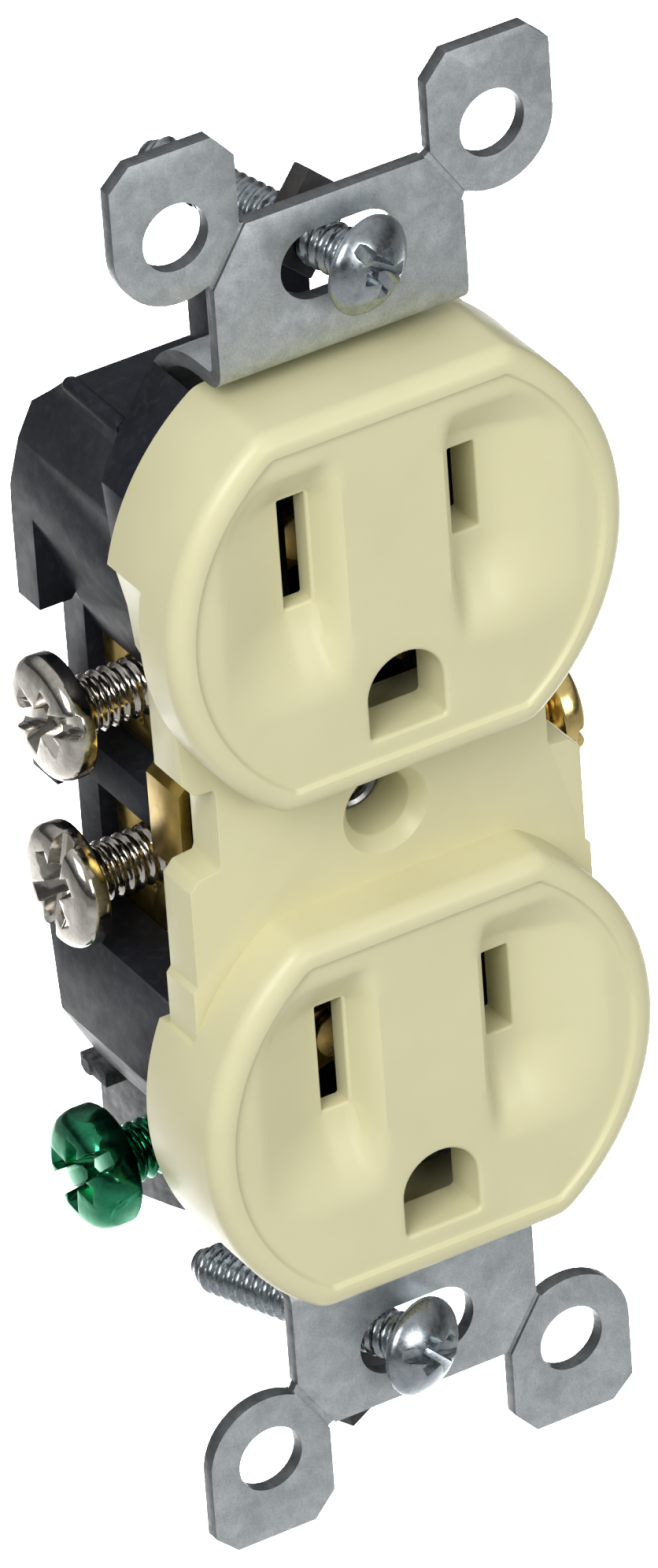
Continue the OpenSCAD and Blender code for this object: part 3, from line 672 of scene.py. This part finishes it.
def front_cover():
    plate = prism(WING + [(-x, z) for x, z in reversed(WING)], "y", MID_FRONT, MID_BACK)
    up = [(x, z + FACE_Z) for x, z in face_outline(SLIM)]
    down = [(x, z - FACE_Z) for x, z in face_outline(SLIM)]
    joined(plate, prism(clipped(up, low=SKIRT_HIGH), "y", MID_FRONT, COVER_BACK))
    joined(plate, prism(clipped(down, high=SKIRT_LOW), "y", MID_FRONT, COVER_BACK))
    joined(plate, prism(circle(4.0, 48), "y", 0.5, 5.0))
    for s in (1, -1):
        pocket = [(x, z + s * FACE_Z) for x, z in pocket_outline(SLIM)]
        cut(plate, prism(pocket, "y", MID_FRONT - 1, COVER_BACK + 1))
    bevelled(plate, 0.22, 3, 35)
    # the countersink of the wall plate's screw, and the eyelet's bore behind it
    sink = turned("sink", [
        (0, -3), (3.55, -3), (3.55, -1.1), (3.3, -0.86), (3.12, -0.7), (2.42, 0.22), (2.35, 0.36),
        (2.35, 4.25), (2.05, 4.25), (2.05, 6), (0, 6),
    ], 64)
    sink.data.transform(turn(-90, "X"))
    cut(plate, sink)
    for s in (1, -1):
        joined(plate, face_boss(s * FACE_Z))
    welded(plate, 0.012)
    patched(plate)
    finish_piece(plate, "front_cover_shell", "outlet", ivory, ["front_cover"], 30)


front_cover()


# ---------------------------------------------------------------- screws
def thread(radius, depth, length, tip=0.6, neck=None, around=44, steps=10):
    """A threaded shank along -Z, from a little inside the head, with a rounded tip."""
    n = int(math.ceil(length / PITCH * steps))
    verts, faces = [], []
    for k in range(n + 1):
        z = -length * k / n
        for i in range(around):
            a = 2 * math.pi * i / around
            p = (z / PITCH - i / around) % 1.0
            t = abs(2 * p - 1)
            t = min(max((t - 0.12) / 0.70, 0), 1)
            t = t * t * (3 - 2 * t) * 0.35 + t * 0.65
            r = radius - depth * t
            if neck and neck[0] < -z < neck[1]:
                r = min(r, NECK_R)
            left = length + z
            if left < tip:
                f = left / tip
                core = radius - depth
                r = (r - core) * f * f + core * (0.68 + 0.32 * f)
            verts.append((r * math.cos(a), r * math.sin(a), SHANK_TOP + z))
    for k in range(n):
        low, high = k * around, (k + 1) * around
        for i in range(around):
            j = (i + 1) % around
            faces.append((low + i, low + j, high + j, high + i))
    faces.append(tuple(range(around)))
    faces.append(tuple(reversed(range(n * around, (n + 1) * around))))
    return welded(new_object("thread", verts, faces), 1e-4)


def cross_tool(top, half, depth, width):
    """A tapered cross between the slot's directions, to cut a drive recess."""
    def ring(h, w, z):
        pts = []
        for q in range(4):
            a = math.pi / 4 + q * math.pi / 2
            c, s = math.cos(a), math.sin(a)
            for x, y in ((h, -w), (h, w), (w, w)):
                pts.append((x * c - y * s, x * s + y * c, z))
        return pts

    verts, faces = [], []
    loft([
        ring(half + 0.35, width / 2 + 0.12, top + 0.6),
        ring(half, width / 2, top),
        ring(half * 0.42, width * 0.32, top - depth * 0.85),
        ring(half * 0.2, width * 0.2, top - depth),
    ], verts, faces)
    n = 12
    faces.append(tuple(reversed(range(n))))
    faces.append(tuple(range(len(verts) - n, len(verts))))
    return welded(new_object("cross", verts, faces), 1e-4)


def slot_tool(top, width, depth, half=6):
    """A straight slot with a rounded floor."""
    w = width / 2
    right = [(w + 0.15, top + 1), (w, top - 0.1), (w * 0.92, top - depth * 0.8), (w * 0.6, top - depth)]
    pts = [(-x, z) for x, z in right] + right[::-1]
    n = len(pts)
    verts = [(x, y, z) for y in (-half, half) for x, z in pts]
    faces = [(i, (i + 1) % n, (i + 1) % n + n, i + n) for i in range(n)]
    faces += [tuple(reversed(range(n))), tuple(range(n, 2 * n))]
    return welded(new_object("slot", verts, faces), 1e-4)


def pan_head(r, rim, height):
    """A head with a low dome, its underside at z = 0."""
    pts = [(0, 0.02), (r - 0.25, 0.0), (r - 0.06, 0.05), (r, 0.2), (r, rim)]
    sweep, steps = math.radians(78), 8
    for i in range(1, steps + 1):
        a = sweep * i / steps
        rise = (height - 0.14 - rim) * math.sin(a) / math.sin(sweep)
        pts.append((r - 1.1 * (1 - math.cos(a)), rim + rise))
    pts += [(r - 1.7, height - 0.06), (r - 2.6, height - 0.02), (0, height)]
    return turned("head", pts, 72)


def place(x, y, z, spin, side):
    """Puts a screw drawn along Z on the side that side gives, with its head's underside at x."""
    return Matrix.Translation((side * x, y, z)) @ turn(90 * side, "Y") @ turn(spin, "Z")


def terminal_screw(name, out, z, spin, side, look):
    head = pan_head(TERM_HEAD_R, TERM_RIM, TERM_HEAD_H)
    cut(head, slot_tool(TERM_HEAD_H, 1.55, 1.2), cross_tool(TERM_HEAD_H, 2.75, 1.75, 1.35))
    bevelled(head, 0.07, 2, 28)
    joined(head, thread(TERM_R, 0.29, TERM_L))
    at = place(STRIP_OUT + out, TERM_Y, z, spin, side)
    finish_piece(head, name + "_body", name, look, [name], 30, at)


terminal_screw("neutral_screw_upper", BACKED_OUT, TERM_Z, 20, -1, nickel)
terminal_screw("neutral_screw_lower", BACKED_OUT, -TERM_Z, 75, -1, nickel)
terminal_screw("hot_screw_upper", BACKED_OUT, TERM_Z, 55, 1, brass_screw)
terminal_screw("hot_screw_lower", HOT_OUT, -TERM_Z, 10, 1, brass_screw)


def ground_screw():
    head = prism(circle(HEX_R, 6), "z", 0.0, HEX_H)
    profile = [
        (0, -0.5), (4.0, -0.5), (4.0, 0.0), (4.2, 0.2), (HEX_ROUND_R, 0.5), (HEX_ROUND_R, 1.5), (4.17, 1.95),
        (3.95, 2.4), (3.6, 2.72), (3.15, 2.94), (2.6, 3.06), (2.0, 3.09), (0, HEX_H),
    ]
    boolean(head, turned("dome", profile, 72), "INTERSECT")
    cut(head, slot_tool(HEX_H, 1.6, 1.5), cross_tool(HEX_H, 2.75, 2.1, 1.4))
    bevelled(head, 0.14, 3, 28)
    joined(head, thread(TERM_R, 0.33, GROUND_L))
    at = place(TAB_X + GROUND_OUT, TERM_Y, TAB_Z, 40, -1)
    finish_piece(head, "ground_screw_body", "ground_screw", green, ["ground_screw"], 30, at)


ground_screw()


def box_screw(name, x, z, lean, tilt, spin):
    """One box screw. x and z: its pivot in the retainer; lean and tilt: how it stands in the photo."""
    r, rim = BOX_HEAD_R, 0.5
    pts = [(0, 0.0), (r - 0.25, 0.0), (r - 0.05, 0.08), (r, 0.3), (r - 0.03, rim)]
    c = rim - (r * r - BOX_DOME * BOX_DOME) / (2 * BOX_DOME)
    ball = (r * r + BOX_DOME * BOX_DOME) / (2 * BOX_DOME)
    for a in range(42, 90, 6):
        pts.append((ball * math.cos(math.radians(a)), c + ball * math.sin(math.radians(a))))
    pts.append((0, BOX_HEAD_H))
    head = turned("head", pts, 72)
    cut(head, slot_tool(BOX_HEAD_H, 1.15, 1.15), cross_tool(BOX_HEAD_H, 2.0, 1.8, 1.0))
    bevelled(head, 0.06, 2, 28)
    joined(head, thread(BOX_R, 0.27, BOX_L, 1.2, NECK))
    m = Matrix.Translation((x, PIVOT_Y, z)) @ turn(lean, "Z") @ turn(90 + tilt, "X")
    m = m @ Matrix.Translation((0, 0, BOX_UNDER)) @ turn(spin, "Z")
    finish_piece(head, name + "_body", name, zinc, [name], 30, m)


box_screw("box_screw_upper", 0.18, BOX_Z, 15.5, 3.5, 35)
box_screw("box_screw_lower", -1.61, -BOX_Z, 19, -2.5, 70)


# ---------------------------------------------------------------- pieces that follow the CAD solid
def refined(node, ending, body, look, width, segments=2):
    """The CAD's piece with softened edges."""
    o = from_cad(node)
    bevelled(o, width, segments)
    finish_piece(o, f"{node}_{ending}", body, look, [node])


def back_body():
    o = from_cad("back_body")
    bevelled(o, 0.3, 2, 25)
    for s in (1, -1):
        rib = turned("rib", [(0, 0), (0.45, 0.02), (0.62, 0.3), (0.62, 6.6), (0.45, 6.95), (0, 7.0)], 24)
        rib.data.transform(Matrix.Translation((s * 12.1, 8.4, 29.05)) @ turn(-90, "X"))
        joined(o, rib)
    # a wall along the lower slope, (y, z), behind the lower ground hole: the CAD is open there
    slope = [(12.0, -31.2), (16.47, -27.87), (17.6, -25.0), (16.9, -24.3), (15.9, -27.3), (12.0, -30.3)]
    joined(o, prism(slope, "x", -3.1, 3.1))
    finish_piece(o, "back_body_shell", "outlet", black, ["back_body"])


def mounting_strap():
    o = bevelled(from_cad("mounting_strap"), 0.10, 2, 25)
    # the rolled lip of the grounding tab
    barrel = turned("barrel", [(0, 0), (0.55, 0.0), (0.75, 0.15), (0.8, 0.4), (0.8, 1.95), (0, 1.95)], 32)
    barrel.data.transform(Matrix.Translation((-12.95, 19.3, -25.8)) @ turn(90, "Y"))
    joined(o, barrel)
    me = o.data
    # Painted shade: the grounding tab and its rolled lip get the full near-black colour for the shade they
    # lie in; the cut edges get most of it, partly for their bare cut steel and partly as painted shade
    values = []
    for p in me.polygons:
        n, c = p.normal, p.center
        flat_part = abs(c.z) > 36.5 or (abs(c.z) < 27 and c.x > -9.5)
        cut_edge_shade = abs(n.x) > 0.75 or (flat_part and abs(n.y) < 0.45)
        tab = c.x < -9.6 and -36.5 < c.z < -24
        values.append(1.0 if tab else 0.8 if cut_edge_shade else 0.0)
    me.attributes.new("shade_and_cut_edges", "FLOAT", "FACE").data.foreach_set("value", values)
    finish_piece(o, "mounting_strap_sheet", "outlet", galvanised, ["mounting_strap"])


def strip(side, sign):
    o = from_cad(side + "_strip")
    for z in (TERM_Z, -TERM_Z):
        dimple = turned("dimple", [(0, -0.32), (0.12, -0.3), (0.5, 0.1), (0.5, 1), (0, 1)], 20)
        at = Matrix.Translation((sign * STRIP_OUT, TERM_Y + 0.1, z - 2.75))
        dimple.data.transform(at @ turn(90 * sign, "Y"))
        cut(o, dimple)
    bevelled(o, 0.07)
    finish_piece(o, side + "_strip_sheet", "outlet", contact_brass, [side + "_strip"])


back_body()
mounting_strap()
for side, sign in (("neutral", -1), ("hot", 1)):
    strip(side, sign)
    for level in ("upper", "lower"):
        refined(f"{side}_clip_{level}", "leaf", "outlet", clip_brass, 0.05)
for level in ("upper", "lower"):
    refined("ground_contact_" + level, "leaf", "outlet", contact_brass, 0.06)
    refined("ground_rivet_" + level, "body", "outlet", rivet_brass, 0.12, 3)
    refined("screw_retainer_" + level, "square", "screw_retainer_" + level, fibre, 0.12)


def eyelet():
    """A tube along Y with flared ends and a thread inside."""
    front, back, n, steps = 3.9, 20.7, 48, 10
    pts = [
        (EYELET_HOLE_R, front), (1.62, 3.62), (1.9, 3.5), (2.1, 3.56), (2.25, 3.75), (2.25, 4.1), (2.2, 4.2),
        (EYELET_R, 4.2), (EYELET_R, 20.5), (3.05, 20.5), (3.15, 20.62), (3.1, 20.9), (2.6, 21.08),
        (1.9, 21.1), (1.55, 20.9), (EYELET_HOLE_R, back),
    ]
    loops = [[(x, y, h) for x, y in circle(r, n)] for r, h in pts]
    count = int((back - front) / PITCH * steps)
    for k in range(1, count):
        z = back - (back - front) * k / count
        ring = []
        for i in range(n):
            p = (z / PITCH - i / n) % 1.0
            ring.append((EYELET_HOLE_R + 0.22 * (abs(2 * p - 1) - 0.5), 2 * math.pi * i / n))
        loops.append([(r * math.cos(a), r * math.sin(a), z) for r, a in ring])
    verts, faces = [], []
    loft(loops + [loops[0]], verts, faces)
    o = welded(new_object("eyelet", verts, faces), 1e-4)
    finish_piece(
        o, "center_eyelet_tube", "outlet", dull_steel, ["center_eyelet"], 35, turn(-90, "X")
    )


eyelet()


# ---------------------------------------------------------------- stage, light and camera
def stage_floor():
    bm = bmesh.new()
    bmesh.ops.create_grid(bm, x_segments=8, y_segments=8, size=6.0)
    me = bpy.data.meshes.new("floor")
    bm.to_mesh(me)
    bm.free()
    o = bpy.data.objects.new("floor", me)
    scene.collection.objects.link(o)
    o.location = (0, 0, -0.50)
    m, _, b, _ = material("floor_paper")
    b.inputs["Base Color"].default_value = (0.56, 0.56, 0.56, 1)
    b.inputs["Roughness"].default_value = 0.9
    b.inputs["Specular IOR Level"].default_value = 0.1
    me.materials.append(m)


def area_light(name, position, aim, size, watts, spread=180):
    d = bpy.data.lights.new(name, "AREA")
    d.shape, d.size, d.size_y = "RECTANGLE", size[0], size[1]
    d.energy, d.spread = watts, math.radians(spread)
    o = bpy.data.objects.new(name, d)
    scene.collection.objects.link(o)
    o.location = position
    o.rotation_euler = (Vector(aim) - Vector(position)).to_track_quat("-Z", "Y").to_euler()


def lighting():
    w = bpy.data.worlds.new("studio")
    scene.world = w
    w.use_nodes = True
    t = w.node_tree
    bg = t.nodes["Background"]
    coords = t.nodes.new("ShaderNodeTexCoord")
    parts = t.nodes.new("ShaderNodeSeparateXYZ")
    t.links.new(coords.outputs["Generated"], parts.inputs[0])
    height = [(0.0, grey(0.07)), (0.15, grey(0.09)), (0.50, grey(0.50)), (1.0, grey(0.72))]
    sky = ramp(t, parts.outputs["Z"], height)
    t.links.new(sky, bg.inputs["Color"])
    bg.inputs["Strength"].default_value = 1.0
    area_light("key", (-0.85, -0.62, 0.85), (0, 0, 0), (0.7, 0.7), 12.0)
    area_light("fill", (0.20, -1.05, 0.35), (0, 0, 0), (0.6, 0.4), 3.9)
    area_light("floor_wash", (0.50, 0.95, 0.60), (0.40, 0.75, -0.5), (0.6, 0.6), 30, 70)


def camera():
    """The camera fitted to the photo: its axes, its place in metres and its focal length in pixels."""
    cam = bpy.data.cameras.new("camera")
    o = bpy.data.objects.new("camera", cam)
    scene.collection.objects.link(o)
    right = Vector((0.85343418, -0.51751643, -0.06186154))
    down = Vector((-0.32575188, -0.43697592, -0.83841384))
    forward = Vector((0.40686093, 0.73568253, -0.54151213))
    m = Matrix.Identity(4)
    for row in range(3):
        m[row][0], m[row][1], m[row][2] = right[row], -down[row], -forward[row]
    m.translation = Vector((-0.42556, -0.762959, 0.564536))
    o.matrix_world = m
    sensor, focal_px, photo_px = 36.0, 20343.4, 1991
    cam.sensor_fit, cam.sensor_width, cam.sensor_height = "VERTICAL", sensor, sensor
    cam.lens = focal_px * sensor / photo_px
    cam.clip_start, cam.clip_end = 0.01, 50
    scene.camera = o


stage_floor()
lighting()
camera()
scene.view_settings.view_transform = "Standard"
